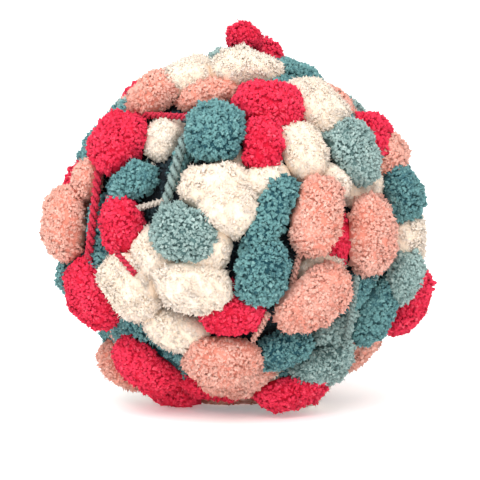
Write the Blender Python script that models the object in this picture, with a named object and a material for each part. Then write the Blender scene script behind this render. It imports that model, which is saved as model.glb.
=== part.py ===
"""A ball of pom pom yarn as one closed solid: soft tufts wound over one another, with the thread between."""
import math
import random
from collections import namedtuple

import bmesh
import bpy
import numpy as np
from mathutils import Vector

MM = 0.001

# The ball, in millimetres
MIDDLE_HEIGHT = 72.0
CORE_RADIUS = 60.0
CORE_DETAIL = 3
TRIANGLES = 11700
TUFT_DISTANCE = 69.5
FOOT_CUT = 200.0

# The chart is read from in front of the ball, a little above its middle
VIEW_DISTANCE = 900.0
VIEW_ABOVE = math.radians(6)
TOWARD_VIEWER = np.array([0.0, -math.cos(VIEW_ABOVE), math.sin(VIEW_ABOVE)])

# A tuft's form
TUFT_AROUND = 12
TUFT_ALONG = 8
TUFT_FULLNESS = 2.35
TUFT_THICKNESS = 0.84
TUFT_THICKEST = 17.5
LOBES = 3
LOBE_DEPTH = 0.05
LOBE_TWIST = 2.5
TAPER = 0.08

# Tufts that the chart leaves over
OUTER_FROM = 66.0
SPREAD_COUNT = 163
SPREAD_CLEAR = 0.22
SPREAD_SPACING = 0.35
SPREAD_ROUNDS = 120
SPREAD_PUSH = 0.3
AHEAD_LIKING = 1.6
SPREAD_SWAY = 0.22
FRONT_EDGE = 0.1
FRONT_EDGE_RISE = 0.2
CROWN_TUFTS = 2
CROWN_DROP = 9.5
CROWN_FROM = 0.15
CROWN_FULL = 0.65
RIM_DROP = 7.5
DEEPEST_DROP = 10.0
RIM_FROM = -0.45
RIM_FULL = -0.1
SPREAD_LENGTH = (27.0, 33.0)
SPREAD_WIDTH = (19.5, 23.0)
SPREAD_LIFT = 2.5
DYE_RUN = "TTCSSRGCCRTSCGRRSTCCGTRS"
TWO_TONE_SHARE = 0.2
SEED = 7
LEAST_SHOWING = 0.33

# Sunk tufts, one in each wide gap that the others leave beside the front and behind
GAP_SPOTS = 5000
GAP_SEEN = 65.0
GAP_EDGE = 0.62
GAP_REACH = 9.0
GAP_FEWEST = 9
GAP_DISTANCE = 62.0
GAP_SIZE = (27.0, 17.0)
GAP_LEAST_SHOWING = 0.12

# The linking thread
THREAD_RADIUS = 1.6
THREAD_SIDES = 6
THREAD_STEPS = 6

Tuft = namedtuple("Tuft", "across up out long wide turn dye")

# Tufts seen from the front, first the two of the crown, which lie behind the ball's middle.
# across and up: where the tuft's middle shows; out: from the ball's middle to the tuft's; long and
# wide: its size; turn: its long axis in degrees from level; dye: its colour, or its two colours
FRONT = (
    Tuft(3.8, 74, 75, 14.5, 15, 10, "R"),
    Tuft(9.5, 67.3, 71.5, 22, 15.5, -38, "R"),
    Tuft(-32.5, 51, 67, 24, 19, 25, "S"),
    Tuft(-20, 57, 66, 25, 18.5, 15, "C"),
    Tuft(-42.5, 41.5, 62.5, 20, 16, 50, "T"),
    Tuft(-47, 31.8, 69, 26.5, 24.5, 55, "R"),
    Tuft(-29, 33, 62, 20, 16, 80, "C"),
    Tuft(-11, 51, 62, 26, 16, 15, "S"),
    Tuft(4.5, 61.2, 67, 31, 18.5, -3, "C"),
    Tuft(24.5, 58.5, 65.5, 23, 15, -18, "T"),
    Tuft(14, 46.5, 69, 29.5, 21.5, -10, "R"),
    Tuft(10.8, 32, 68.5, 27, 17, 82, "R"),
    Tuft(32.5, 46, 68, 29.5, 21.5, -58, "C"),
    Tuft(26.5, 29, 67, 27, 19, -72, "C"),
    Tuft(-7.5, 36.2, 71, 27, 23, 80, "T"),
    Tuft(0, 24, 62, 16, 12, 0, "C"),
    Tuft(-20, 24, 58, 20, 10, 75, "T"),
    Tuft(-7, 13.5, 67.5, 30, 21.5, -8, "C"),
    Tuft(-3, 6.5, 69, 25.5, 22.5, -30, "C"),
    Tuft(11, 16, 66, 25, 16, 25, "C"),
    Tuft(14.5, 3.5, 69, 34, 16, 59, "T"),
    Tuft(11.2, -19.5, 69, 29.5, 21, 85, "T"),
    Tuft(32.8, 3, 70, 32, 21, 76, "S"),
    Tuft(39.5, 16.5, 65, 18, 13, -45, "C"),
    Tuft(47, 28, 69.5, 28, 22.5, -53, "G"),
    Tuft(45, 45, 63.5, 18, 14, -50, "G"),
    Tuft(47, 14, 62, 18, 14, -60, "C"),
    Tuft(54.5, -5, 69, 33, 22.5, -82, "S"),
    Tuft(41, -7.5, 62, 23, 15, 75, "R"),
    Tuft(66, 12, 69.5, 28, 23, -50, "T"),
    Tuft(60, 26.5, 68, 25, 20.5, -60, "S"),
    Tuft(55.5, 34.5, 69, 22.5, 17, -38, "R"),
    Tuft(68, -7.5, 69.5, 25, 25, -80, "C"),
    Tuft(67.5, -21, 73.5, 24, 18, 32, "G"),
    Tuft(70, -31.5, 75, 32.5, 20, 60, "R"),
    Tuft(55.5, -35.5, 69, 32.5, 19.5, 79, "T"),
    Tuft(31.5, -30.5, 71, 34, 22, 27, "S"),
    Tuft(35, -17, 62, 24, 14, 5, "C"),
    Tuft(19, -50, 66, 25, 17, 10, "T"),
    Tuft(35, -56, 70, 30, 20, 15, "G"),
    Tuft(38, -60, 71, 16, 12, 20, "G"),
    Tuft(40, -42, 64, 24, 16, 35, "G"),
    Tuft(49, -50, 69.5, 27, 17, 48, "S"),
    Tuft(-5, -55, 71, 31, 23, -5, "S"),
    Tuft(0, -60, 66, 34, 24, -5, "S"),
    Tuft(20, -58, 64, 26, 20, 10, "T"),
    Tuft(-26, -60, 64, 28, 20, -20, "R"),
    Tuft(23, -67, 74, 32, 18, 3, "R"),
    Tuft(-10, -65, 68, 36, 14, -8, "R"),
    Tuft(-36, -57.5, 72, 30, 20.5, -55, "R"),
    Tuft(-44.8, -57.8, 72.5, 25.5, 19, -60, "S"),
    Tuft(-26, -55, 64, 26, 15, -35, "T"),
    Tuft(-57.5, -28, 70, 31.5, 22, -66, "R"),
    Tuft(-68.3, -0.5, 72.8, 31.5, 24, 88, "S"),
    Tuft(-58.5, 16.5, 67, 20, 15, 65, "S"),
    Tuft(-44.5, -0.5, 66.5, 25.5, 18.5, 100, "R"),
    Tuft(-41, 15.5, 65.5, 23, 17, 17, "T"),
    Tuft(-53, 2, 56, 28, 10, 85, "T"),
    Tuft(-41.5, -26, 69.5, 30, 23, -56, "C"),
    Tuft(-23.5, -42.5, 67, 28, 18, -13, "C"),
    Tuft(-17, -25, 70, 31, 22, -5, "C"),
    Tuft(-32, -12.5, 65, 23, 20, -30, "C"),
    Tuft(-11, -11.5, 66.5, 25, 19, 72, "C"),
    Tuft(-20, -4.5, 71, 27.5, 22.5, -15, "G"),
    Tuft(-0.5, -36.5, 68, 27, 17, 10, "R"),
    Tuft(-1, -25, 60, 12, 8, 0, "R"),
    Tuft(-65, -22.5, 69, 21, 14, -75, "T"),
)

# Stretches of the linking thread that show between the tufts, from inside one tuft to inside another
Thread = namedtuple("Thread", "across up to_across to_up out dye")
THREADS = (
    Thread(-51, 28, -58, -16, 68.5, "R"),
    Thread(-38, 43, -14, 42, 66, "R"),
    Thread(-17, 34, -28, 2, 64, "G"),
    Thread(-45, 2, -22, 12, 65, "C"),
    Thread(27, -8, 22, -28, 67, "S"),
    Thread(12, -30, 6, -50, 67, "S"),
    Thread(50, -20, 44, -50, 66, "G"),
    Thread(-50, -36, -38, -48, 66, "G"),
)

# Tufts that no one sees from the front, placed by their direction in degrees
Under = namedtuple("Under", "around below out long wide turn dye")
UNDER = (
    Under(0, 90, 70, 34, 25, 20, "S"),
    Under(-60, 68, 70, 30, 22, 70, "R"),
    Under(60, 66, 70, 30, 22, -20, "C"),
    Under(180, 66, 70, 30, 22, 40, "R"),
)

DYES = {
    "R": ("crimson", (0.80, 0.025, 0.065)),
    "S": ("salmon", (0.86, 0.36, 0.27)),
    "C": ("cream", (0.90, 0.83, 0.72)),
    "T": ("teal", (0.075, 0.22, 0.25)),
    "G": ("grey_teal", (0.25, 0.43, 0.42)),
    "D": ("hollow", (0.012, 0.022, 0.028)),
}
DYE_ORDER = "RSCTGD"
SMALLEST_EDGE = 0.05


def unit(vector):
    """The vector at length one."""
    return vector / np.linalg.norm(vector)


def share(value, start, end):
    """How far the value is from the start to the end, from nought to one."""
    return min(max((value - start) / (end - start), 0.0), 1.0)


def seen_at(across, up, out, behind=False):
    """The place at a distance from the ball's middle that shows at a spot of the front view."""
    level = math.cos(VIEW_ABOVE)
    rise = math.sin(VIEW_ABOVE)
    eye = VIEW_DISTANCE * TOWARD_VIEWER
    spot = np.array([across, up * rise, up * level])
    ray = unit(spot - eye)
    nearest = eye - ray * (ray @ eye)
    reach = math.sqrt(max(out * out - nearest @ nearest, 0.0))
    place = nearest + ray * (reach if behind else -reach)
    return unit(place) * out


def tuft_axes(place, heading):
    """The tuft's own axes: along it, across it and out of the ball."""
    outward = unit(place)
    along = unit(heading - outward * (heading @ outward))
    return np.array([along, np.cross(outward, along), outward])


def front_tufts():
    """Middle, axes, size and dyes of each tuft of the front chart."""
    right = np.array([1.0, 0.0, 0.0])
    upward = np.array([0.0, math.sin(VIEW_ABOVE), math.cos(VIEW_ABOVE)])
    for row in FRONT:
        behind = row in FRONT[:CROWN_TUFTS]
        place = seen_at(row.across, row.up, row.out, behind)
        turn = math.radians(row.turn)
        heading = right * math.cos(turn) + upward * math.sin(turn)
        yield place, tuft_axes(place, heading), (row.long, row.wide), row.dye


def under_tufts():
    """The same for the tufts that the ball rests on."""
    for row in UNDER:
        around = math.radians(row.around)
        below = math.radians(row.below)
        flat = np.array([math.sin(around), -math.cos(around), 0.0])
        place = row.out * (flat * math.cos(below) - np.array([0.0, 0.0, math.sin(below)]))
        turn = math.radians(row.turn)
        heading = np.array([math.cos(turn), math.sin(turn), 0.0])
        yield place, tuft_axes(place, heading), (row.long, row.wide), row.dye


def front_edge(spots):
    """How far toward the viewer the spread tufts may come: a little, and more at the top and below."""
    return FRONT_EDGE + FRONT_EDGE_RISE * spots[:, 2] ** 2


def round_spots(count):
    """Spots spread evenly over a ball of radius one."""
    index = np.arange(count)
    height = 1 - (2 * index + 1) / count
    around = index * math.pi * (3 - math.sqrt(5))
    ring = np.sqrt(1 - height**2)
    return np.stack([np.cos(around) * ring, np.sin(around) * ring, height], axis=1)


def spread_directions(fixed):
    """Directions of the tufts that the charts leave over, evened out between the charted ones."""
    spots = round_spots(SPREAD_COUNT)
    apart = np.linalg.norm(spots[:, None] - fixed[None], axis=2).min(axis=1)
    spots = spots[(apart > SPREAD_CLEAR) & (spots @ TOWARD_VIEWER < front_edge(spots))]
    for _ in range(SPREAD_ROUNDS):
        others = np.concatenate([spots, fixed])
        gap = spots[:, None] - others[None]
        apart = np.linalg.norm(gap, axis=2)
        apart[apart == 0] = SPREAD_SPACING
        push = np.clip(SPREAD_SPACING - apart, 0, None) / apart
        spots = spots + SPREAD_PUSH * (gap * push[..., None]).sum(axis=1)
        ahead = np.clip(spots @ TOWARD_VIEWER - front_edge(spots), 0, None)
        spots = spots - ahead[:, None] * TOWARD_VIEWER
        spots = spots / np.linalg.norm(spots, axis=1, keepdims=True)
    return spots


def walk_order(spots):
    """The spots in the order in which the yarn passes over them: each time a near one, mostly ahead."""
    left = list(range(len(spots)))
    here = max(left, key=lambda i: spots[i][2])
    left.remove(here)
    order = [here]
    heading = np.array([1.0, 0.0, 0.0])
    while left:
        steps = spots[left] - spots[here]
        far = np.linalg.norm(steps, axis=1)
        ahead = left[np.argmin(far * AHEAD_LIKING - steps @ heading)]
        heading = unit(spots[ahead] - spots[here])
        left.remove(ahead)
        order.append(ahead)
        here = ahead
    return order


def spread_tufts(fixed):
    """Tufts of the sides, the back and the top, laid along the yarn's way and dyed by its run."""
    chance = random.Random(SEED)
    spots = spread_directions(fixed)
    order = walk_order(spots)
    for step, here in enumerate(order):
        before = spots[order[max(step - 1, 0)]]
        after = spots[order[min(step + 1, len(order) - 1)]]
        crown = share(spots[here][2], CROWN_FROM, CROWN_FULL)
        rim = share(spots[here] @ TOWARD_VIEWER, RIM_FROM, RIM_FULL)
        drop = min(CROWN_DROP * crown + RIM_DROP * rim, DEEPEST_DROP)
        out = TUFT_DISTANCE - drop + chance.uniform(-SPREAD_LIFT, SPREAD_LIFT)
        size = (chance.uniform(*SPREAD_LENGTH), chance.uniform(*SPREAD_WIDTH))
        place = spots[here] * out
        sway = np.array([chance.uniform(-SPREAD_SWAY, SPREAD_SWAY) for _ in range(3)])
        dye = DYE_RUN[step % len(DYE_RUN)]
        if chance.random() < TWO_TONE_SHARE:
            dye += DYE_RUN[(step + 1) % len(DYE_RUN)]
        yield place, tuft_axes(place, after - before + sway), size, dye


def outside(spots, tuft):
    """Which of the spots lie outside a tuft."""
    place, axes, (long, wide), _ = tuft
    half = np.array([long, wide, min(wide * TUFT_THICKNESS, TUFT_THICKEST)]) / 2
    return np.linalg.norm((spots - place) @ axes.T / half, axis=1) > 1


def showing(tuft, tufts):
    """How much of a tuft's outer side shows between the others, as a share of one."""
    place, axes, (long, wide), _ = tuft
    spots = round_spots(200)
    spots = spots[spots[:, 2] > 0] * np.array([long, wide, min(wide * TUFT_THICKNESS, TUFT_THICKEST)]) / 2
    spots = place + spots @ axes
    seen = np.ones(len(spots), dtype=bool)
    for other in tufts:
        if other[0] is not place:
            seen &= outside(spots, other)
    return seen.mean()


def gap_tufts(tufts):
    """Tufts of the deeper windings, each laid along a wide gap between the others.

    A gap takes the dye of the tuft nearest to it, and teal beside a crimson one.
    """
    spots = round_spots(GAP_SPOTS)
    spots = spots[spots @ TOWARD_VIEWER < GAP_EDGE] * GAP_SEEN
    for tuft in tufts:
        spots = spots[outside(spots, tuft)]
    near = np.linalg.norm(spots[:, None] - spots[None], axis=2) < GAP_REACH
    while near.sum(axis=1).max() >= GAP_FEWEST:
        own = near[near.sum(axis=1).argmax()].copy()
        middle = spots[own].mean(axis=0)
        place = unit(middle) * GAP_DISTANCE
        heading = np.linalg.svd(spots[own] - middle)[2][0]
        nearest = min(tufts, key=lambda tuft: np.linalg.norm(tuft[0] - place))
        yield place, tuft_axes(place, heading), GAP_SIZE, nearest[3][0].replace("R", "T")
        near[own] = False
        near[:, own] = False


def all_tufts():
    """Every tuft of the ball. Those of the crown sit on others, and sunk ones leave room above them."""
    tufts = list(front_tufts()) + list(under_tufts())
    fixed = [unit(place) for place, _, _, _ in tufts[CROWN_TUFTS:] if np.linalg.norm(place) >= OUTER_FROM]
    spread = list(spread_tufts(np.array(fixed)))
    tufts += [tuft for tuft in spread if showing(tuft, tufts + spread) > LEAST_SHOWING]
    gaps = list(gap_tufts(tufts))
    return tufts + [tuft for tuft in gaps if showing(tuft, tufts + gaps) > GAP_LEAST_SHOWING]


def tuft_points(number, place, axes, size):
    """Points of one tuft: a full oval, a little lobed and tapered, bent over the ball."""
    chance = random.Random(SEED + number)
    phase = chance.uniform(0, math.tau)
    taper = chance.uniform(-TAPER, TAPER)
    long, wide = size
    half = np.array([long, wide, min(wide * TUFT_THICKNESS, TUFT_THICKEST)]) / 2
    bend_radius = np.linalg.norm(place)
    points = []
    for ring in range(TUFT_ALONG + 1):
        lean = math.pi * ring / TUFT_ALONG
        girth = math.sin(lean)
        for side in range(TUFT_AROUND if 0 < ring < TUFT_ALONG else 1):
            spin = math.tau * (side + 0.5 * (ring % 2)) / TUFT_AROUND
            way = np.array([-math.cos(lean), girth * math.cos(spin), girth * math.sin(spin)])
            full = (np.abs(way) ** TUFT_FULLNESS).sum() ** (-1 / TUFT_FULLNESS)
            lobes = 1 + LOBE_DEPTH * math.sin(LOBES * spin + LOBE_TWIST * way[0] + phase) * girth
            own = way * full * lobes * half
            own[1:] *= 1 + taper * way[0]
            own[2] -= own[0] ** 2 / (2 * bend_radius)
            points.append(place + own @ axes)
    return points


def add_tuft(bm, number, place, axes, size, dye):
    """One tuft as a closed form in the mesh."""
    verts = [bm.verts.new(Vector(p) * MM) for p in tuft_points(number, place, axes, size)]
    rings = [[verts[0]]]
    for ring in range(TUFT_ALONG - 1):
        start = 1 + ring * TUFT_AROUND
        rings.append(verts[start:start + TUFT_AROUND])
    rings.append([verts[-1]])
    for step, (near, far) in enumerate(zip(rings, rings[1:])):
        colour = DYE_ORDER.index(dye[0] if step < TUFT_ALONG / 2 else dye[-1])
        for side in range(TUFT_AROUND):
            beside = (side + 1) % TUFT_AROUND
            if len(near) == 1:
                corners = [(near[0], far[beside], far[side])]
            elif len(far) == 1:
                corners = [(near[side], near[beside], far[0])]
            elif step % 2:
                corners = [(near[side], near[beside], far[beside]), (near[side], far[beside], far[side])]
            else:
                corners = [(near[side], near[beside], far[side]), (near[beside], far[beside], far[side])]
            for triangle in corners:
                face = bm.faces.new(triangle)
                face.material_index = colour
                face.smooth = True


def add_thread(bm, row):
    """A stretch of the linking thread as a closed rod round the ball's middle, its ends in two tufts."""
    start = seen_at(row.across, row.up, row.out)
    end = seen_at(row.to_across, row.to_up, row.out)
    rings = []
    for step in range(THREAD_STEPS + 1):
        part = step / THREAD_STEPS
        place = unit(start * (1 - part) + end * part) * row.out
        along = unit(end - start)
        out = unit(place - along * (place @ along))
        side = np.cross(along, out)
        ring = []
        for turn in range(THREAD_SIDES):
            angle = math.tau * turn / THREAD_SIDES
            spot = place + THREAD_RADIUS * (math.cos(angle) * side + math.sin(angle) * out)
            ring.append(bm.verts.new(Vector(spot) * MM))
        rings.append(ring)
    colour = DYE_ORDER.index(row.dye)
    faces = [bm.faces.new(rings[0]), bm.faces.new(rings[-1][::-1])]
    for near, far in zip(rings, rings[1:]):
        for turn in range(THREAD_SIDES):
            beside = (turn + 1) % THREAD_SIDES
            faces.append(bm.faces.new((near[beside], near[turn], far[turn], far[beside])))
    for face in faces:
        face.material_index = colour
        face.smooth = True


def new_object(name, bm):
    """The mesh as an object of the scene, in the ball's materials."""
    bmesh.ops.recalc_face_normals(bm, faces=bm.faces)
    mesh = bpy.data.meshes.new(name)
    bm.to_mesh(mesh)
    bm.free()
    for dye in DYE_ORDER:
        mesh.materials.append(bpy.data.materials[DYES[dye][0]])
    made = bpy.data.objects.new(name, mesh)
    bpy.context.scene.collection.objects.link(made)
    return made


def make_materials():
    """One plain material for each dye and one for the dark hollows."""
    for name, colour in DYES.values():
        material = bpy.data.materials.new(name)
        material.use_nodes = True
        skin = material.node_tree.nodes["Principled BSDF"]
        skin.inputs["Base Color"].default_value = (*colour, 1)
        skin.inputs["Roughness"].default_value = 0.95


def apply_modifiers(body):
    """Makes the body's mesh the one that its modifiers give."""
    bpy.context.view_layer.update()
    result = body.evaluated_get(bpy.context.evaluated_depsgraph_get())
    mesh = bpy.data.meshes.new_from_object(result)
    body.modifiers.clear()
    body.data = mesh


def boolean(body, operation, tool):
    """Joins the tool to the body or cuts it away, and takes the tool out of the scene."""
    step = body.modifiers.new(operation.lower(), "BOOLEAN")
    step.operation = operation
    step.solver = "EXACT"
    step.use_self = operation == "UNION"
    step.object = tool
    apply_modifiers(body)
    bpy.data.objects.remove(tool)


def islands(bm):
    """The mesh's separate shells, each as a set of faces."""
    left = set(bm.faces)
    found = []
    while left:
        shell = {left.pop()}
        border = list(shell)
        while border:
            for edge in border.pop().edges:
                for face in edge.link_faces:
                    if face in left:
                        left.remove(face)
                        shell.add(face)
                        border.append(face)
        found.append(shell)
    return found


def keep_outer_shell(body):
    """Takes out the small closed hollows that tufts leave between them."""
    bm = bmesh.new()
    bm.from_mesh(body.data)
    shells = islands(bm)
    outer = max(shells, key=len)
    inner = [face for shell in shells if shell is not outer for face in shell]
    bmesh.ops.delete(bm, geom=inner, context="FACES")
    bm.to_mesh(body.data)
    bm.free()


def thin_out(body):
    """Merges triangles where the form changes least, down to the part's budget."""
    step = body.modifiers.new("thin_out", "DECIMATE")
    step.ratio = min(1.0, TRIANGLES / len(body.data.polygons))
    apply_modifiers(body)


def clean(body):
    """Closes up the smallest edges and splits each face into triangles."""
    bm = bmesh.new()
    bm.from_mesh(body.data)
    bmesh.ops.remove_doubles(bm, verts=bm.verts, dist=SMALLEST_EDGE * MM)
    bmesh.ops.triangulate(bm, faces=bm.faces)
    bm.to_mesh(body.data)
    bm.free()


def stand(body):
    """Moves the mesh so that its foot is on the floor and its box is centred over the origin."""
    points = np.array([vert.co for vert in body.data.vertices])
    low = points.min(axis=0)
    high = points.max(axis=0)
    shift = Vector((-(low[0] + high[0]) / 2, -(low[1] + high[1]) / 2, -low[2]))
    for vert in body.data.vertices:
        vert.co += shift


def main():
    """Makes the ball."""
    for old in list(bpy.data.objects):
        bpy.data.objects.remove(old)
    make_materials()

    bm = bmesh.new()
    bmesh.ops.create_icosphere(bm, subdivisions=CORE_DETAIL, radius=CORE_RADIUS * MM)
    for face in bm.faces:
        face.material_index = DYE_ORDER.index("D")
        face.smooth = True
    ball = new_object("yarn_ball", bm)

    bm = bmesh.new()
    for number, (place, axes, size, dye) in enumerate(all_tufts()):
        add_tuft(bm, number, place, axes, size, dye)
    for row in THREADS:
        add_thread(bm, row)
    boolean(ball, "UNION", new_object("tufts", bm))
    keep_outer_shell(ball)
    clean(ball)
    thin_out(ball)

    bm = bmesh.new()
    bmesh.ops.create_cube(bm, size=1)
    for corner in bm.verts:
        corner.co *= FOOT_CUT * MM
        corner.co.z -= (MIDDLE_HEIGHT + FOOT_CUT / 2) * MM
    for face in bm.faces:
        face.material_index = DYE_ORDER.index("S")
    boolean(ball, "DIFFERENCE", new_object("foot_cutter", bm))

    clean(ball)
    stand(ball)


main()
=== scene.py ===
"""Dresses the ball of pom pom yarn in curly cut pile, with its linking thread and deep windings."""

import math
import random
from collections import namedtuple

import bpy
import numpy as np
from bpy.props import FloatProperty, FloatVectorProperty, PointerProperty
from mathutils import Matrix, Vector
from mathutils.bvhtree import BVHTree


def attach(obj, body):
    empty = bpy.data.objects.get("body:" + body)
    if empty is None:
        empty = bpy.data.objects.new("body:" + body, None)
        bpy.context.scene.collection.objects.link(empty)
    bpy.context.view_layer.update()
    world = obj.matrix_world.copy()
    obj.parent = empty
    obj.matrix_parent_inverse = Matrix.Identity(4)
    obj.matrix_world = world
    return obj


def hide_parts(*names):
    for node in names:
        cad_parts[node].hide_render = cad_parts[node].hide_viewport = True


bl_info = {
    "name": "Pom Pom Yarn Ball",
    "version": (1, 0, 0),
    "blender": (4, 5, 0),
    "location": "View3D > Sidebar > Yarn",
    "description": "Curly pom poms, linking thread and soft studio for a ball of pom pom yarn",
    "category": "Object",
}

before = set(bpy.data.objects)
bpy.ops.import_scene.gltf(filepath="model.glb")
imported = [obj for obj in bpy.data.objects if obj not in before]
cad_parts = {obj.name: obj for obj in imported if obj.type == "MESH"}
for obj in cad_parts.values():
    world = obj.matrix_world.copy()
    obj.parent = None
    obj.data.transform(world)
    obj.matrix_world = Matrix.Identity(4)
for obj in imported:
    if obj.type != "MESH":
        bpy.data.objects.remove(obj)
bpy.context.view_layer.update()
BODY = "root"
CAD_NODE = "yarn_ball"
MM = 0.001
TINY = 1e-9
BALL_TREE = BVHTree.FromPolygons(
    [tuple(corner.co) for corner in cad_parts[CAD_NODE].data.vertices],
    [tuple(face.vertices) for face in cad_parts[CAD_NODE].data.polygons])

# The ball, in millimetres, as in the part's source
BALL_MIDDLE = np.array([-1.3588, -0.3237, 72.0])
MIDDLE_HEIGHT = BALL_MIDDLE[2]
CORE_RADIUS = 60.0
TUFT_DISTANCE = 69.5
VIEW_DISTANCE = 900.0
VIEW_ABOVE = math.radians(6)
TOWARD_VIEWER = np.array([0.0, -math.cos(VIEW_ABOVE), math.sin(VIEW_ABOVE)])
UPWARD = np.array([0.0, math.sin(VIEW_ABOVE), math.cos(VIEW_ABOVE)])
RIGHTWARD = np.array([1.0, 0.0, 0.0])
TUFT_FULLNESS = 2.35
TUFT_THICKNESS = 0.84
TUFT_THICKEST = 17.5
LOBES = 3
LOBE_DEPTH = 0.05
LOBE_TWIST = 2.5
TAPER = 0.08
CROWN_TUFTS = 2
OUTER_FROM = 66.0

# Tufts spread over the sides, the top and the back, between those of the charts
SPREAD_COUNT = 163
SPREAD_CLEAR = 0.22
SPREAD_SPACING = 0.35
SPREAD_ROUNDS = 120
SPREAD_PUSH = 0.3
AHEAD_LIKING = 1.6
SPREAD_SWAY = 0.22
FRONT_EDGE = 0.1
FRONT_EDGE_RISE = 0.2
CROWN_DROP = 9.5
CROWN_OVER = (0.15, 0.65)
RIM_DROP = 7.5
RIM_OVER = (-0.45, -0.1)
DEEPEST_DROP = 10.0
SPREAD_LENGTH = (27.0, 33.0)
SPREAD_WIDTH = (19.5, 23.0)
SPREAD_LIFT = 2.5
DYE_RUN = "TTCSSRGCCRTSCGRRSTCCGTRS"
TWO_TONE_SHARE = 0.2
SEED = 7
SHOW_SPOTS = 200
LEAST_SHOWING = 0.33

# Sunk tufts, one in each wide gap that the others leave beside the front and behind it
GAP_SPOTS = 5000
GAP_SEEN = 65.0
GAP_EDGE = 0.62
GAP_REACH = 9.0
GAP_FEWEST = 9
GAP_DISTANCE = 62.0
GAP_SIZE = (27.0, 17.0)
GAP_LEAST_SHOWING = 0.12

Tuft = namedtuple("Tuft", "across up out long wide turn dye")

# Tufts seen from the front, first the two of the crown, which lie behind the ball's middle.
# across and up: where the tuft's middle shows; out: from the ball's middle to the tuft's;
# long and wide: its size; turn: its long axis in degrees from level; dye: its letter, or two letters
FRONT = tuple(Tuft(*row) for row in (
    (3.8, 74, 75, 14.5, 15, 10, "R"), (9.5, 67.3, 71.5, 22, 15.5, -38, "R"),
    (-32.5, 51, 67, 24, 19, 25, "S"), (-20, 57, 66, 25, 18.5, 15, "C"),
    (-42.5, 41.5, 62.5, 20, 16, 50, "T"), (-47, 31.8, 69, 26.5, 24.5, 55, "R"),
    (-29, 33, 62, 20, 16, 80, "C"), (-11, 51, 62, 26, 16, 15, "S"),
    (4.5, 61.2, 67, 31, 18.5, -3, "C"), (24.5, 58.5, 65.5, 23, 15, -18, "T"),
    (14, 46.5, 69, 29.5, 21.5, -10, "R"), (10.8, 32, 68.5, 27, 17, 82, "R"),
    (32.5, 46, 68, 29.5, 21.5, -58, "C"), (26.5, 29, 67, 27, 19, -72, "C"),
    (-7.5, 36.2, 71, 27, 23, 80, "T"), (0, 24, 62, 16, 12, 0, "C"),
    (-20, 24, 58, 20, 10, 75, "T"), (-7, 13.5, 67.5, 30, 21.5, -8, "C"),
    (-3, 6.5, 69, 25.5, 22.5, -30, "C"), (11, 16, 66, 25, 16, 25, "C"),
    (14.5, 3.5, 69, 34, 16, 59, "T"), (11.2, -19.5, 69, 29.5, 21, 85, "T"),
    (32.8, 3, 70, 32, 21, 76, "S"), (39.5, 16.5, 65, 18, 13, -45, "C"),
    (47, 28, 69.5, 28, 22.5, -53, "G"), (45, 45, 63.5, 18, 14, -50, "G"),
    (47, 14, 62, 18, 14, -60, "C"), (54.5, -5, 69, 33, 22.5, -82, "S"),
    (41, -7.5, 62, 23, 15, 75, "R"), (66, 12, 69.5, 28, 23, -50, "T"),
    (60, 26.5, 68, 25, 20.5, -60, "S"), (55.5, 34.5, 69, 22.5, 17, -38, "R"),
    (68, -7.5, 69.5, 25, 25, -80, "C"), (67.5, -21, 73.5, 24, 18, 32, "G"),
    (70, -31.5, 75, 32.5, 20, 60, "R"), (55.5, -35.5, 69, 32.5, 19.5, 79, "T"),
    (31.5, -30.5, 71, 34, 22, 27, "S"), (35, -17, 62, 24, 14, 5, "C"),
    (19, -50, 66, 25, 17, 10, "T"), (35, -56, 70, 30, 20, 15, "G"),
    (38, -60, 71, 16, 12, 20, "G"), (40, -42, 64, 24, 16, 35, "G"),
    (49, -50, 69.5, 27, 17, 48, "S"), (-5, -55, 71, 31, 23, -5, "S"),
    (0, -60, 66, 34, 24, -5, "S"), (20, -58, 64, 26, 20, 10, "T"),
    (-26, -60, 64, 28, 20, -20, "R"), (23, -67, 74, 32, 18, 3, "R"),
    (-10, -65, 68, 36, 14, -8, "R"), (-36, -57.5, 72, 30, 20.5, -55, "R"),
    (-44.8, -57.8, 72.5, 25.5, 19, -60, "S"), (-26, -55, 64, 26, 15, -35, "T"),
    (-57.5, -28, 70, 31.5, 22, -66, "R"), (-68.3, -0.5, 72.8, 31.5, 24, 88, "S"),
    (-58.5, 16.5, 67, 20, 15, 65, "S"), (-44.5, -0.5, 66.5, 25.5, 18.5, 100, "R"),
    (-41, 15.5, 65.5, 23, 17, 17, "T"), (-53, 2, 56, 28, 10, 85, "T"),
    (-41.5, -26, 69.5, 30, 23, -56, "C"), (-23.5, -42.5, 67, 28, 18, -13, "C"),
    (-17, -25, 70, 31, 22, -5, "C"), (-32, -12.5, 65, 23, 20, -30, "C"),
    (-11, -11.5, 66.5, 25, 19, 72, "C"), (-20, -4.5, 71, 27.5, 22.5, -15, "G"),
    (-0.5, -36.5, 68, 27, 17, 10, "R"), (-1, -25, 60, 12, 8, 0, "R"),
    (-65, -22.5, 69, 21, 14, -75, "T"),
))

# Bits of pom poms that show deep between the others, which the part's source leaves out
SUNK = tuple(Tuft(*row) for row in (
    (-32, 20, 57, 16, 10, 80, "C"), (-20, 25, 61, 15, 9, 60, "T"),
    (1, 22, 62, 14, 8, 0, "C"), (14, -61, 67, 16, 9, 10, "C"),
    (-31, -23, 65, 20, 13, 0, "C"),
))

# Tufts that no one sees from the front, placed by their direction in degrees
Under = namedtuple("Under", "around below out long wide turn dye")
UNDER = tuple(Under(*row) for row in (
    (0, 90, 70, 34, 25, 20, "S"), (-60, 68, 70, 30, 22, 70, "R"),
    (60, 66, 70, 30, 22, -20, "C"), (180, 66, 70, 30, 22, 40, "R"),
))

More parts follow.
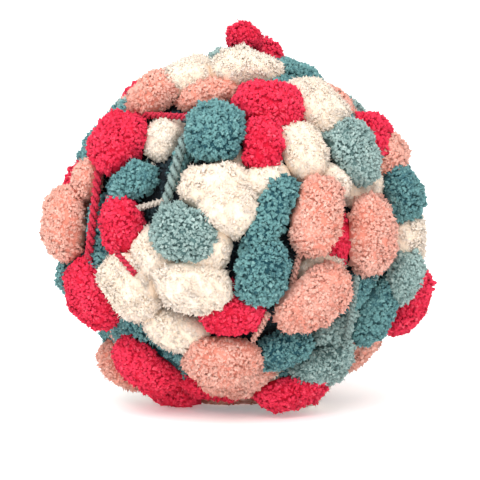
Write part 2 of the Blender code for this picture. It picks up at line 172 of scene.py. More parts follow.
# Where hairs stand: spots tried on a pom pom's skin, and which of them are left out
SKIN_SAMPLES = 14000
PICK_STEP = 0.5698402909980532
SPOT_JITTER = 0.3
DYE_BLEND = 1.6
BURIED = 1.3
TURNED_IN = -0.6
CORE_SKIN = 0.6
UNSEEN_BELOW = -2.5
PRESSED_FROM = 2.0

# Whether a spot is seen: how far off the skin, how far and in which ways it is looked from
LOOK_FROM = 1.0
LOOK_REACH = 70.0
LOOK_OUTWARD = 0.6
LOOK_SIDE = (0.31, 0.52, 0.79)
LOOKS = ((0.0, 0.0), (1.2, 0.0), (-1.2, 0.0), (0.0, 1.2), (0.0, -1.2), (0.5, 0.5), (-0.5, -0.5))

# The pile: short blunt tufts drawn together into locks, and thin fuzz that stands out of them
HAIR_SIDES = 3
STRAIGHT_OUT = 0.6
FROM_THREAD = 0.4
LOCK_STEP = 0.6180339887
LOCK_LEANS = (0.3, 1.3)
LEAN_SHARE = 0.8
TUFT_WIDTHS = (0.75, 1.25)
FUZZ_LEAN = 0.6
FUZZ_REACHES = (0.3, 1.2)
FUZZ_WIDTHS = (0.7, 1.3)
FUZZ_BEND = 0.2
FUZZ_ROOT = 0.5
FUZZ_SOFT = 0.85
# How far up the base, middle and tip of a fibre count, which the material turns into painted shade
# toward the base
FUZZ_SHADES = (0.6, 0.9, 1.0)

# The lumps that the whole pile rises and falls by: pace, way and phase of each wave
LUMPS = (
    (0.43, (0.91, 0.22, -0.35), 0.4),
    (0.57, (-0.31, 0.85, 0.42), 1.9),
    (0.49, (0.18, -0.38, 0.91), 3.3),
    (0.97, (0.62, 0.55, 0.56), 5.1),
    (1.21, (-0.58, 0.31, -0.75), 0.9),
)

# The root of a pom pom, and how far one dye's half of it reaches over its middle
ROOT_AROUND = 14
ROOT_ALONG = 9
HALF_OVER = 0.15

# Sparse tufts of the deep windings, coloured nearly black as painted shade in the gaps between the pom
# poms
HOLLOW = "H"
HOLLOW_TUFTS = 40000
HOLLOW_RISE = 1.6

# The bake map: roots in a strip at the top, hairs in cells below it
ATLAS_EDGE = 0.004
ROOT_STRIP = 0.14
ROOT_ROWS = 4
CELL_GAP = 0.09

# The dyes, and how the pile of each differs from the common one. flecks: the share of lighter locks;
# crowd: how many tufts; thick: how thick they are; blunt: how far up they are thickest; uneven: how
# unevenly they are cut; gather: how far they draw together into locks; root: how far under the pile
# the root lies, in millimetres; soft: how much the shading is the pom pom's own
Dye = namedtuple("Dye", "name flecks crowd thick blunt uneven gather root soft")
DYES = {
    # The hollow is no dye of the yarn: its pile is coloured nearly black as painted shade deep between
    # the pom poms
    HOLLOW: Dye("hollow", 0.2, 1.0, 1.0, 0.6, 1.0, 0.6, 1.0, 0.5),
    "R": Dye("crimson", 0.2, 1.0, 1.02, 0.75, 0.9, 0.45, 1.0, 0.6),
    "S": Dye("salmon", 0.3, 1.05, 0.95, 0.65, 0.7, 0.45, 0.8, 0.76),
    "C": Dye("cream", 0.35, 1.2, 0.85, 0.6, 0.35, 0.4, 0.5, 0.9),
    "T": Dye("teal", 0.2, 0.95, 0.98, 0.75, 1.1, 0.5, 1.4, 0.55),
    "G": Dye("grey_teal", 0.25, 0.95, 0.95, 0.7, 1.0, 0.5, 1.2, 0.66),
}


def unit(vector):
    """The vector at length one."""
    return vector / np.linalg.norm(vector)


def units(vectors):
    """Each row of the array at length one."""
    return vectors / np.linalg.norm(vectors, axis=1, keepdims=True).clip(TINY)


def share(value, start, end):
    """How far the value is from the start to the end, from nought to one."""
    return min(max((value - start) / (end - start), 0.0), 1.0)


def seen_at(across, up, out, behind=False):
    """The place at a distance from the ball's middle that shows at a spot of the front view."""
    eye = VIEW_DISTANCE * TOWARD_VIEWER
    ray = unit(across * RIGHTWARD + up * UPWARD - eye)
    nearest = eye - ray * (ray @ eye)
    reach = math.sqrt(max(out * out - nearest @ nearest, 0.0))
    place = nearest + ray * (reach if behind else -reach)
    return unit(place) * out


def tuft_axes(place, heading):
    """The tuft's own axes: along it, across it and out of the ball."""
    outward = unit(place)
    along = unit(heading - outward * (heading @ outward))
    return np.array([along, np.cross(outward, along), outward])


def charted_tufts(rows):
    """Middle, axes, size and dyes of each tuft of a chart."""
    for row in rows:
        behind = row in FRONT[:CROWN_TUFTS]
        place = seen_at(row.across, row.up, row.out, behind)
        turn = math.radians(row.turn)
        heading = RIGHTWARD * math.cos(turn) + UPWARD * math.sin(turn)
        yield place, tuft_axes(place, heading), (row.long, row.wide), row.dye


def under_tufts():
    """The same for the tufts that the ball rests on."""
    for row in UNDER:
        around = math.radians(row.around)
        below = math.radians(row.below)
        flat = np.array([math.sin(around), -math.cos(around), 0.0])
        place = row.out * (flat * math.cos(below) - np.array([0.0, 0.0, math.sin(below)]))
        turn = math.radians(row.turn)
        heading = np.array([math.cos(turn), math.sin(turn), 0.0])
        yield place, tuft_axes(place, heading), (row.long, row.wide), row.dye


def front_edge(spots):
    """How far toward the viewer the spread tufts may come: a little, and more at the top and below."""
    return FRONT_EDGE + FRONT_EDGE_RISE * spots[:, 2] ** 2


def round_spots(count, first=0.0):
    """Spots spread evenly over a ball of radius one, the first turned so far round it."""
    index = np.arange(count)
    height = 1 - (2 * index + 1) / count
    around = (index + first) * math.pi * (3 - math.sqrt(5))
    ring = np.sqrt(1 - height**2)
    return np.stack([np.cos(around) * ring, np.sin(around) * ring, height], axis=1)


def spread_directions(fixed):
    """Directions of the tufts that the charts leave over, evened out between the charted ones."""
    spots = round_spots(SPREAD_COUNT)
    apart = np.linalg.norm(spots[:, None] - fixed[None], axis=2).min(axis=1)
    spots = spots[(apart > SPREAD_CLEAR) & (spots @ TOWARD_VIEWER < front_edge(spots))]
    for _ in range(SPREAD_ROUNDS):
        others = np.concatenate([spots, fixed])
        gap = spots[:, None] - others[None]
        apart = np.linalg.norm(gap, axis=2)
        apart[apart == 0] = SPREAD_SPACING
        push = np.clip(SPREAD_SPACING - apart, 0, None) / apart
        spots = spots + SPREAD_PUSH * (gap * push[..., None]).sum(axis=1)
        ahead = np.clip(spots @ TOWARD_VIEWER - front_edge(spots), 0, None)
        spots = units(spots - ahead[:, None] * TOWARD_VIEWER)
    return spots


def walk_order(spots):
    """The spots in the order in which the yarn passes them: each time a near one, mostly ahead."""
    left = list(range(len(spots)))
    here = max(left, key=lambda i: spots[i][2])
    left.remove(here)
    order = [here]
    heading = RIGHTWARD
    while left:
        steps = spots[left] - spots[here]
        far = np.linalg.norm(steps, axis=1)
        ahead = left[np.argmin(far * AHEAD_LIKING - steps @ heading)]
        heading = unit(spots[ahead] - spots[here])
        left.remove(ahead)
        order.append(ahead)
        here = ahead
    return order


def spread_tufts(fixed):
    """Tufts of the sides, the back and the top, laid along the yarn's way and dyed by its run."""
    chance = random.Random(SEED)
    spots = spread_directions(fixed)
    order = walk_order(spots)
    for step, here in enumerate(order):
        before = spots[order[max(step - 1, 0)]]
        after = spots[order[min(step + 1, len(order) - 1)]]
        crown = share(spots[here][2], *CROWN_OVER)
        rim = share(spots[here] @ TOWARD_VIEWER, *RIM_OVER)
        drop = min(CROWN_DROP * crown + RIM_DROP * rim, DEEPEST_DROP)
        out = TUFT_DISTANCE - drop + chance.uniform(-SPREAD_LIFT, SPREAD_LIFT)
        size = (chance.uniform(*SPREAD_LENGTH), chance.uniform(*SPREAD_WIDTH))
        place = spots[here] * out
        sway = np.array([chance.uniform(-SPREAD_SWAY, SPREAD_SWAY) for _ in range(3)])
        dye = DYE_RUN[step % len(DYE_RUN)]
        if chance.random() < TWO_TONE_SHARE:
            dye += DYE_RUN[(step + 1) % len(DYE_RUN)]
        yield place, tuft_axes(place, after - before + sway), size, dye


def half_size(size):
    """Half of a tuft's length, width and thickness."""
    long, wide = size
    return np.array([long, wide, min(wide * TUFT_THICKNESS, TUFT_THICKEST)]) / 2


def outside(spots, tuft):
    """Which of the spots lie outside a tuft."""
    place, axes, size, _ = tuft
    return np.linalg.norm((spots - place) @ axes.T / half_size(size), axis=1) > 1


def showing(tuft, tufts):
    """How much of a tuft's outer side shows between the others, as a share of one."""
    place, axes, size, _ = tuft
    spots = round_spots(SHOW_SPOTS)
    spots = place + spots[spots[:, 2] > 0] * half_size(size) @ axes
    seen = np.ones(len(spots), dtype=bool)
    for other in tufts:
        if other[0] is not place:
            seen &= outside(spots, other)
    return seen.mean()


def gap_tufts(tufts):
    """Tufts of the deeper windings, each laid along a wide gap between the others.

    A gap takes the dye of the tuft nearest to it, and teal beside a crimson one.
    """
    spots = round_spots(GAP_SPOTS)
    spots = spots[spots @ TOWARD_VIEWER < GAP_EDGE] * GAP_SEEN
    for tuft in tufts:
        spots = spots[outside(spots, tuft)]
    near = np.linalg.norm(spots[:, None] - spots[None], axis=2) < GAP_REACH
    while near.sum(axis=1).max() >= GAP_FEWEST:
        own = near[near.sum(axis=1).argmax()].copy()
        middle = spots[own].mean(axis=0)
        place = unit(middle) * GAP_DISTANCE
        heading = np.linalg.svd(spots[own] - middle)[2][0]
        nearest = min(tufts, key=lambda tuft: np.linalg.norm(tuft[0] - place))
        yield place, tuft_axes(place, heading), GAP_SIZE, nearest[3][0].replace("R", "T")
        near[own] = False
        near[:, own] = False


def all_tufts():
    """Every tuft. Those of the crown sit on others, and sunk ones leave room above them."""
    tufts = list(charted_tufts(FRONT)) + list(under_tufts())
    fixed = [
        unit(place) for place, _, _, _ in tufts[CROWN_TUFTS:] if np.linalg.norm(place) >= OUTER_FROM]
    spread = list(spread_tufts(np.array(fixed)))
    tufts += [tuft for tuft in spread if showing(tuft, tufts + spread) > LEAST_SHOWING]
    gaps = list(gap_tufts(tufts))
    tufts += [tuft for tuft in gaps if showing(tuft, tufts + gaps) > GAP_LEAST_SHOWING]
    return tufts + list(charted_tufts(SUNK))


class PomPom:
    """One pom pom: its place, axes, size and dyes, formed as in the part's source."""

    def __init__(self, number, place, axes, size, dye):
        chance = random.Random(SEED + number)
        self.number = number
        self.place = place
        self.axes = axes
        self.dye = dye
        self.phase = chance.uniform(0, math.tau)
        self.taper = chance.uniform(-TAPER, TAPER)
        self.half = half_size(size)
        self.bend = 2 * np.linalg.norm(place)

    def girth(self, ways):
        """How far the skin lies out along each direction, before the pom pom is given its size."""
        full = (np.abs(ways) ** TUFT_FULLNESS).sum(axis=1) ** (-1 / TUFT_FULLNESS)
        spin = np.arctan2(ways[:, 2], ways[:, 1])
        ring = np.sqrt(np.clip(1 - ways[:, 0] ** 2, 0, None))
        lobes = np.sin(LOBES * spin + LOBE_TWIST * ways[:, 0] + self.phase)
        return full * (1 + LOBE_DEPTH * lobes * ring)

    def skin(self, ways, inset=0.0):
        """Points of the skin in each direction, the way it faces there, and its area there."""
        half = self.half - inset
        girth = self.girth(ways)[:, None]
        own = ways * girth
        slope = units(np.sign(ways) * np.abs(own) ** (TUFT_FULLNESS - 1))
        area = girth[:, 0] ** 2 / (slope * ways).sum(axis=1)
        area *= np.prod(half) * np.linalg.norm(slope / half, axis=1) * 4 * math.pi / len(ways)
        own = own * half
        own[:, 1:] *= 1 + self.taper * ways[:, :1]
        facing = slope / half
        facing[:, 0] += 2 * own[:, 0] / self.bend * facing[:, 2]
        own[:, 2] -= own[:, 0] ** 2 / self.bend
        return self.place + own @ self.axes, units(facing) @ self.axes, area

    def own_frame(self, spots):
        """The spots in the pom pom's own frame, its bend over the ball taken out."""
        own = (spots - self.place) @ self.axes.T
        own[:, 2] += own[:, 0] ** 2 / self.bend
        return own

    def depth(self, spots):
        """How deep each spot lies under the skin, below nought outside it."""
        own = self.own_frame(spots)
        even = own / self.half
        reach = np.linalg.norm(even, axis=1, keepdims=True).clip(TINY)
        even[:, 1:] /= 1 + self.taper * (even[:, :1] / reach)
        reach = np.linalg.norm(even, axis=1).clip(TINY)
        return (self.girth(even / reach[:, None]) / reach - 1) * np.linalg.norm(own, axis=1)

    def half_of(self, spots, half):
        """The spots, those of the other dye's half brought back to the pom pom's middle."""
        own = self.own_frame(spots)
        own[:, 0] = own[:, 0].clip(*((None, HALF_OVER), (-HALF_OVER, None))[half])
        own[:, 2] -= own[:, 0] ** 2 / self.bend
        return self.place + own @ self.axes

    def core_line(self, spots):
        """The nearest place to each spot on the thread that the pom pom is bound to."""
        own = self.own_frame(spots)
        room = max(self.half[0] - self.half[1], 0.0)
        line = np.zeros_like(own)
        line[:, 0] = np.clip(own[:, 0], -room, room)
        return self.place + line @ self.axes


def even_ways(count):
    """Directions spread evenly all round, from one end of the first axis to the other."""
    return np.roll(round_spots(count, 0.5), 1, axis=1)


def lumpiness(spots):
    """A gentle rise and fall over the pile, from minus one to one."""
    total = sum(np.sin(spots @ np.array(way) * pace + phase) for pace, way, phase in LUMPS)
    return total / len(LUMPS)


def open_to_view(spots, facing):
    """Whether anything outside the ball can see each spot past the pom poms round it."""
    outward = units(spots)
    side = units(np.cross(facing, LOOK_SIDE))
    other = np.cross(facing, side)
    starts = (spots + facing * LOOK_FROM + BALL_MIDDLE) * MM
    seen = np.zeros(len(spots), dtype=bool)
    for across, up in LOOKS:
        ways = units(facing + outward * LOOK_OUTWARD + side * across + other * up)
        for number in np.nonzero(~seen)[0]:
            hit = BALL_TREE.ray_cast(starts[number], ways[number], LOOK_REACH * MM)
            seen[number] = hit[0] is None
    return seen


def hair_spots(pom_poms, here, room, seed):
    """Where one pom pom's hairs stand, the way the skin faces there, and which dye each takes."""
    chance = np.random.default_rng([seed, here.number])
    spots, facing, area = here.skin(even_ways(SKIN_SAMPLES))
    along = here.own_frame(spots)[:, 0] + chance.normal(size=len(spots)) * DYE_BLEND
    crowded = np.where(along < 0, *(DYES[dye].crowd for dye in (here.dye[0], here.dye[-1])))
    picked = (np.arange(len(area)) * PICK_STEP + chance.random()) % 1 < area / room * crowded
    spots, facing, along = spots[picked], facing[picked], along[picked]
    jitter = chance.normal(size=spots.shape) * math.sqrt(room) * SPOT_JITTER
    spots = spots + jitter - facing * (jitter * facing).sum(axis=1, keepdims=True)
    seen = (facing * units(spots)).sum(axis=1) > TURNED_IN
    seen &= np.linalg.norm(spots, axis=1) > CORE_RADIUS + CORE_SKIN
    seen &= spots[:, 2] + MIDDLE_HEIGHT > UNSEEN_BELOW
    for other in pom_poms:
        gap = np.linalg.norm(other.place - here.place)
        if other is not here and gap < other.half.max() + here.half.max():
            seen[seen] = other.depth(spots[seen]) < BURIED
    seen[seen] = open_to_view(spots[seen], facing[seen])
    spots, facing = spots[seen], facing[seen]
    stem = units(STRAIGHT_OUT * facing + FROM_THREAD * units(spots - here.core_line(spots)))
    return spots, facing, stem, np.where(along[seen] < 0, here.dye[0], here.dye[-1])


def hollow_spots(pom_poms):
    """Where tufts of the deep windings show between the pom poms."""
    outward = even_ways(HOLLOW_TUFTS)
    spots = outward * (CORE_RADIUS + HOLLOW_RISE)
    seen = spots[:, 2] + MIDDLE_HEIGHT > 0
    for other in pom_poms:
        seen[seen] = other.depth(spots[seen]) < 0
    seen[seen] = open_to_view(spots[seen], outward[seen])
    return spots[seen], outward[seen], outward[seen], np.full(seen.sum(), HOLLOW)


def corners_round(first, second, count):
    """Directions spread evenly round a line, from the first by way of the second."""
    turns = [math.tau * corner / count for corner in range(count)]
    return [math.cos(turn) * first + math.sin(turn) * second for turn in turns]


def spindles(base, middle, tip, thick, facing, soft, chance):
    """Points and shading of hairs: a base, three points round the middle, and a tip."""
    ahead = units(tip - base)
    broad = units(np.cross(ahead, chance.normal(size=ahead.shape)))
    corners = corners_round(broad, np.cross(ahead, broad), HAIR_SIDES)
    points = [base] + [middle + corner * thick / 2 for corner in corners] + [tip]
    shading = [facing] + [units(corner * (1 - soft) + facing * soft) for corner in corners]
    shading.append(units(ahead * (1 - soft) + facing * soft))
    return np.stack(points, axis=1), np.stack(shading, axis=1)


def trimmed(spots, facing, sizes):
    """The spots moved to where the pile is cut."""
    return spots + facing * (sizes.lumps * lumpiness(spots)[:, None] - sizes.trim) / MM


def grow_tufts(spots, facing, stem, cut, sizes, chance):
    """Short blunt tufts, drawn together into locks that each lean their own way."""
    count = len(spots)
    order = (np.arange(count) * LOCK_STEP + chance.random()) % 1
    leaders = np.nonzero(order < sizes.tuft_room / sizes.lock_room)[0]
    leaders = leaders if len(leaders) else np.array([0])
    home = ((spots[:, None] - spots[leaders][None]) ** 2).sum(axis=2).argmin(axis=1)
    locks = (len(leaders), 1)
    spots = trimmed(spots, facing, sizes)
    lean = units(np.cross(stem[leaders], chance.normal(size=(len(leaders), 3))))
    lean = lean * sizes.lock_lean / MM * chance.uniform(*LOCK_LEANS, size=locks)
    rise = sizes.unevenness / MM * cut.uneven * chance.uniform(-1, 1, size=locks)
    lock_tip = spots[leaders] + stem[leaders] * rise + lean
    stray = chance.normal(size=(count, 3)) * sizes.tuft_stray / MM
    tip = (spots + lean[home] * LEAN_SHARE) * (1 - cut.gather) + lock_tip[home] * cut.gather + stray
    thick = sizes.tuft_thickness / MM * cut.thick * chance.uniform(*TUFT_WIDTHS, size=(count, 1))
    aside = np.cross(stem, chance.normal(size=(count, 3))) * sizes.tuft_curl / MM * cut.blunt
    base = spots - stem * sizes.root / MM
    middle = base + (tip - base) * cut.blunt + aside
    points, shading = spindles(base, middle, tip, thick, facing, cut.soft, chance)
    shade = (chance.random(len(leaders))[home] + chance.random(count)) / 2
    # How far up each point of a tuft stands, which the material turns into painted shade toward the
    # base
    return points, shading, shade, (0.0, cut.blunt, 1.0)


def grow_fuzz(spots, facing, stem, cut, sizes, chance):
    """Thin single fibres that stand out of the tufts."""
    size = (len(spots), 1)
    spots = trimmed(spots, facing, sizes)
    lean = np.cross(stem, chance.normal(size=spots.shape)) * sizes.fuzz_length / MM * FUZZ_LEAN
    tip = spots + stem * sizes.fuzz_length / MM * chance.uniform(*FUZZ_REACHES, size=size) + lean
    thick = sizes.fuzz_thickness / MM * chance.uniform(*FUZZ_WIDTHS, size=size)
    base = spots - stem * sizes.root / MM * FUZZ_ROOT
    middle = spots + lean * FUZZ_BEND
    points, shading = spindles(base, middle, tip, thick, facing, FUZZ_SOFT, chance)
    return points, shading, chance.random(len(spots)), FUZZ_SHADES


def closed_faces(around, along):
    """Triangles of a form of rings between two end points, and the spot of each corner in its map."""
    last = 1 + (along - 1) * around
    corners = []
    for ring in range(along):
        low, high = 1 + (ring - 1) * around, 1 + ring * around
        down, up = ring / along, (ring + 1) / along
        at_end = ring == along - 1
        for side in range(around):
            beside = (side + 1) % around
            left, right = side / around, (side + 1) / around
            middle = (left + right) / 2
            first = (low + side, left, down) if ring else (0, middle, down)
            third = (last, middle, up) if at_end else (high + beside, right, up)
            if ring:
                corners.append((first, (low + beside, right, down), third))
            if not at_end:
                corners.append((first, third, (high + side, left, up)))
    corners = np.array(corners)
    return corners[..., 0].astype(int), corners[..., 1:]


def hair_faces(count):
    """The triangles of so many hairs, and the spot of each corner in a hair's own map."""
    faces, spots = closed_faces(HAIR_SIDES, 2)
    faces = np.arange(count)[:, None, None] * (HAIR_SIDES + 2) + faces
    return faces.reshape(-1, 3), spots


def root_mesh(here, dye, inset, lumps):
    """The root of a pom pom, which the pile's material paints in the root colour as shade under the
    pile: points, the way they face, faces and map spots.
    """
    ways = [(-1.0, 0.0, 0.0)]
    for ring in range(1, ROOT_ALONG):
        lean = math.pi * ring / ROOT_ALONG
        level, wide = -math.cos(lean), math.sin(lean)
        for side in range(ROOT_AROUND):
            spin = math.tau * side / ROOT_AROUND
            ways.append((level, wide * math.cos(spin), wide * math.sin(spin)))
    ways.append((1.0, 0.0, 0.0))
    points, facing, _ = here.skin(np.array(ways), inset)
    points = points + facing * lumps * lumpiness(points)[:, None]
    if here.dye[0] != here.dye[-1]:
        points = here.half_of(points, here.dye.index(dye))
    return points, facing, *closed_faces(ROOT_AROUND, ROOT_ALONG)


def in_cells(spots, number, columns, rows, low, high):
    """Puts each set of map spots in a cell of its own, between two heights of the map."""
    cell = np.stack([number % columns, number // columns], axis=1).astype(float)
    inner = CELL_GAP + spots * (1 - 2 * CELL_GAP)
    placed = (cell[:, None, None, :] + inner) / np.array([columns, rows])
    placed[..., 0] = ATLAS_EDGE + placed[..., 0] * (1 - 2 * ATLAS_EDGE)
    placed[..., 1] = low + placed[..., 1] * (high - low)
    return placed


def stand_on_floor(points):
    """Moves the points into the row's frame, and presses the lowest ones flat just above the floor."""
    points = points + BALL_MIDDLE
    low = points[:, 2] < PRESSED_FROM
    points[low, 2] = PRESSED_FROM * np.exp((points[low, 2] - PRESSED_FROM) / PRESSED_FROM)
    return points


def make_piece(name, points, faces, values):
    """An object made from arrays: points in millimetres, triangles, the points' values or colours."""
    mesh = bpy.data.meshes.new(name)
    mesh.vertices.add(len(points))
    mesh.vertices.foreach_set("co", (points * MM).astype(np.float32).ravel())
    mesh.loops.add(faces.size)
    mesh.loops.foreach_set("vertex_index", faces.astype(np.int32).ravel())
    mesh.polygons.add(len(faces))
    mesh.polygons.foreach_set("loop_start", np.arange(0, faces.size, 3, dtype=np.int32))
    mesh.polygons.foreach_set("use_smooth", np.ones(len(faces), dtype=bool))
    mesh.update(calc_edges=True)
    mesh.validate()
    for value_name, numbers in values.items():
        kind, field = ("FLOAT", "value") if numbers.ndim == 1 else ("FLOAT_COLOR", "color")
        layer = mesh.attributes.new(value_name, kind, "POINT")
        layer.data.foreach_set(field, numbers.astype(np.float32).ravel())
    made = bpy.data.objects.new(name, mesh)
    bpy.context.scene.collection.objects.link(made)
    return made


def hand_over(piece, material):
    """Gives a piece its material, sets it on the body and hides the part of the model that it stands
    in for.
    """
    piece.data.materials.clear()
    piece.data.materials.append(material)
    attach(piece, BODY)
    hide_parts(CAD_NODE)


def joined(parts):
    """The arrays of many parts as one, with faces that count on from part to part."""
    points, faces, *others = zip(*parts)
    firsts = np.cumsum([0] + [len(some) for some in points[:-1]])
    faces = [some + first for some, first in zip(faces, firsts)]
    return [np.concatenate(some) for some in (points, faces, *others)]


def make_pile(name, dye, pom_poms, growths, sizes):
    """All the pile of one dye as a joined mesh: a root for each pom pom, its tufts and its fuzz."""
    chance = np.random.default_rng([SEED, *name.encode()])
    cut = DYES[dye]
    parts = []
    with_roots = [here for here in pom_poms if dye in here.dye]
    columns = math.ceil(len(with_roots) / ROOT_ROWS)
    for number, here in enumerate(with_roots):
        inset = cut.root + sizes.trim / MM
        points, normals, faces, spots = root_mesh(here, dye, inset, sizes.lumps / MM)
        cell = np.array([number])
        spots = in_cells(spots, cell, columns, ROOT_ROWS, 1 - ROOT_STRIP, 1 - ATLAS_EDGE)[0]
        # The roots stand lowest in the pile, so they take the root colour: painted shade under the
        # pile
        values = np.zeros(len(points))
        parts.append((points, faces, normals, spots, values, values + chance.random()))
    total = sum((dyes == dye).sum() for _, rows in growths for _, _, _, dyes in rows)
    columns = math.ceil(math.sqrt(total / (1 - ROOT_STRIP)))
    rows = math.ceil(total / columns)
    number = 0
    for grow, hairs in growths:
        for spots, facing, stem, dyes in hairs:
            mine = dyes == dye
            count = mine.sum()
            if not count:
                continue
            points, normals, shade, reach = grow(
                spots[mine], facing[mine], stem[mine], cut, sizes, chance)
            faces, form_spots = hair_faces(count)
            cells = number + np.arange(count)
            placed = in_cells(form_spots, cells, columns, rows, ATLAS_EDGE, 1 - ROOT_STRIP)
            along = np.repeat(reach, [1, HAIR_SIDES, 1])
            parts.append((
                points.reshape(-1, 3), faces, normals.reshape(-1, 3), placed.reshape(-1, 3, 2),
                np.tile(along, count), np.repeat(shade, len(along))))
            number += count
    points, faces, normals, spots, reach, shade = joined(parts)
    made = make_piece(name, stand_on_floor(points), faces, {"reach": reach, "shade": shade})
    bake_map = made.data.uv_layers.new(name="OFBake")
    bake_map.data.foreach_set("uv", spots.astype(np.float32).ravel())
    made.data.normals_split_custom_set_from_vertices(normals)
    return made


# The linking thread: stretches that show between the pom poms, from inside one to inside another.
# out: how far from the ball's middle; plies: how many strands; thick: of a strand; pitch: of its twist
Thread = namedtuple("Thread", "across up to_across to_up out dye plies thick pitch")
THREADS = tuple(Thread(*row) for row in (
    (-54, 24, -58.5, -16, 69.5, "R", 2, 1.75, 6.6), (-38, 43, -14, 42, 66.5, "R", 2, 1.4, 4.4),
    (-20.5, 33, -28.5, 4, 67.3, "G", 2, 2.1, 7.2), (-17, 32, -24, 14, 65, "T", 2, 1.7, 5.0),
    (-38, 6, -27, 9, 67, "C", 2, 1.3, 3.4), (27, -8, 22, -28, 67.5, "S", 2, 1.4, 4.0),
    (13, -37, 7.5, -46.5, 72, "S", 2, 1.3, 3.8), (48.5, -23, 45, -45, 72, "G", 2, 1.4, 4.0),
    (-46.8, -12.3, -40.2, -20, 75.4, "R", 2, 1.2, 4.6), (-50, -36, -38, -48, 66.5, "G", 2, 1.3, 4.4),
))
PLY_STEP = 0.75
PLY_SIDES = 6
PLY_SPREAD = 0.5
THREAD_ENDS = 0.06
THREAD_FUZZ = 1.5
FUZZ_STUBS = (0.1, 0.6)
STUB_WIDTHS = (1.0, 2.4)
STUB_LEAN = 0.6
STUB_SOFT = 0.8
# How the plies are painted darker toward the creases between them, as painted shade: where the crease
# ends, over how much it turns into the crest, and how far the root colour is darkened in it
CREASE_TO = 0.35
CREST_OVER = 0.5
CREASE = 0.4

# The windings under the pom poms
CORE_DETAIL = 5
CORE_RISE = 2.4
CORE_GRAIN = 0.006

# How each surface looks. scale, detail, harsh: of the noise on it; relief and depth: how strongly and
# how many metres deep the noise shades it; rough and rougher: how rough it is at the least, and how
# much the noise adds; sheen: how bright its fine fibres are at a slant
Look = namedtuple("Look", "scale detail harsh relief depth rough rougher sheen")
PILE_LOOK = Look(1500.0, 3.0, 0.6, 0.5, 0.0004, 0.92, 0.08, 0.3)
THREAD_LOOK = Look(1800.0, 3.0, 0.6, 1.0, 0.0006, 0.95, 0.05, 0.05)
WINDING_LOOK = Look(900.0, 3.0, 0.6, 0.8, 0.0008, 0.95, 0.05, 0.1)
FLOOR_LOOK = Look(25.0, 2.0, 0.5, 0.02, 0.0005, 0.7, 0.05, 0.0)
SHINE = 0.25
SHEEN_SPREAD = 0.6
WHITE = (1, 1, 1, 1)

# What makes a tuft's tone: how far up it is, which paints shade deep in the pile, its own shade at
# random, its fibres and the patch it stands in
TONE_FROM_REACH = 0.55
TONE_FROM_SHADE = 0.45
TONE_FROM_FIBRES = 1.1
TONE_SPAN = (0.1, 0.95)
SHADE_STRIDE = 7.31
PATCH_SCALE = 70.0
FLECK_FROM_FIBRES = 0.5
FLECK_EDGE = 0.1
FLECK_COVER = 0.8

# The levels and tints of the other surfaces
THREAD_DARKEST = 0.38
THREAD_LIGHTER = 0.75
THREAD_SHEEN = (1.0, 0.95, 0.9, 1.0)
CAST_SCALE = 90.0
CAST_SPAN = (0.4, 0.65)
TEAL_CAST = (2.2, 1.5, 1.4, 1)
WINDING_SHEEN = (0.5, 0.7, 0.7, 1.0)
FLOOR_SPAN = (0.3, 0.7)
FLOOR_DARKER = 0.995

# The studio. The photo's side, and how far the view moves to frame the ball as it does, in pixels
FLOOR_SIDES = 96
KEY_PLACE = (-0.25, -0.8, 1.15)
SENSOR_WIDTH = 36.0
PHOTO_SIDE = 480
PHOTO_SHIFT = (1.6, -17.5)


def ply_points(row, ply):
    """The rings of one strand of a thread, twisted with the others round its way over the ball."""
    ends = np.array([(row.across, row.up), (row.to_across, row.to_up)])
    length = np.linalg.norm(seen_at(*ends[0], row.out) - seen_at(*ends[1], row.out))
    steps = math.ceil(length / PLY_STEP)
    part = np.linspace(-THREAD_ENDS, 1 + THREAD_ENDS, steps)[:, None]
    way = np.array([seen_at(*spot, row.out) for spot in ends[0] + part * (ends[1] - ends[0])])
    ahead = units(np.gradient(way, axis=0))
    out = units(way - ahead * (way * ahead).sum(axis=1, keepdims=True))
    beside = np.cross(ahead, out)
    turn = math.tau * (part * length / row.pitch + ply / row.plies)
    spread = PLY_SPREAD * row.thick
    middle = way + spread * (np.cos(turn) * beside + np.sin(turn) * out)
    along = units(np.gradient(middle, axis=0))
    up = units(out - along * (out * along).sum(axis=1, keepdims=True))
    corners = corners_round(np.cross(along, up), up, PLY_SIDES)
    rings = np.stack([middle + row.thick / 2 * corner for corner in corners], axis=1)
    outer = np.linalg.norm(rings - way[:, None], axis=2) / row.thick
    # The last: how far each point lies from the crease toward the crest, which sets how much painted
    # shade the thread's colour takes
    return rings, middle, np.clip((outer - CREASE_TO) / CREST_OVER, 0, 1)


def thread_fuzz(rings, middle, sizes, chance):
    """Thin short fibres that stand out of a strand."""
    count = round(rings.shape[0] * rings.shape[1] * THREAD_FUZZ)
    step, corner = (chance.integers(end, size=count) for end in rings.shape[:2])
    spots = rings[step, corner]
    facing = units(spots - middle[step])
    reach = sizes.fuzz_length / MM * chance.uniform(*FUZZ_STUBS, size=(count, 1))
    tip = spots + units(facing + chance.normal(size=spots.shape) * STUB_LEAN) * reach
    thick = sizes.fuzz_thickness / MM * chance.uniform(*STUB_WIDTHS, size=(count, 1))
    return spindles(middle[step], spots, tip, thick, facing, STUB_SOFT, chance)[0]


def tube_faces(steps):
    """Triangles of a tube of rings, closed at both ends."""
    faces = []
    for step in range(steps - 1):
        low, high = step * PLY_SIDES, (step + 1) * PLY_SIDES
        for side in range(PLY_SIDES):
            beside = (side + 1) % PLY_SIDES
            faces.append((low + beside, low + side, high + side))
            faces.append((low + beside, high + side, high + beside))
    last = (steps - 1) * PLY_SIDES
    for side in range(1, PLY_SIDES - 1):
        faces.append((0, side, side + 1))
        faces.append((last, last + side + 1, last + side))
    return np.array(faces)


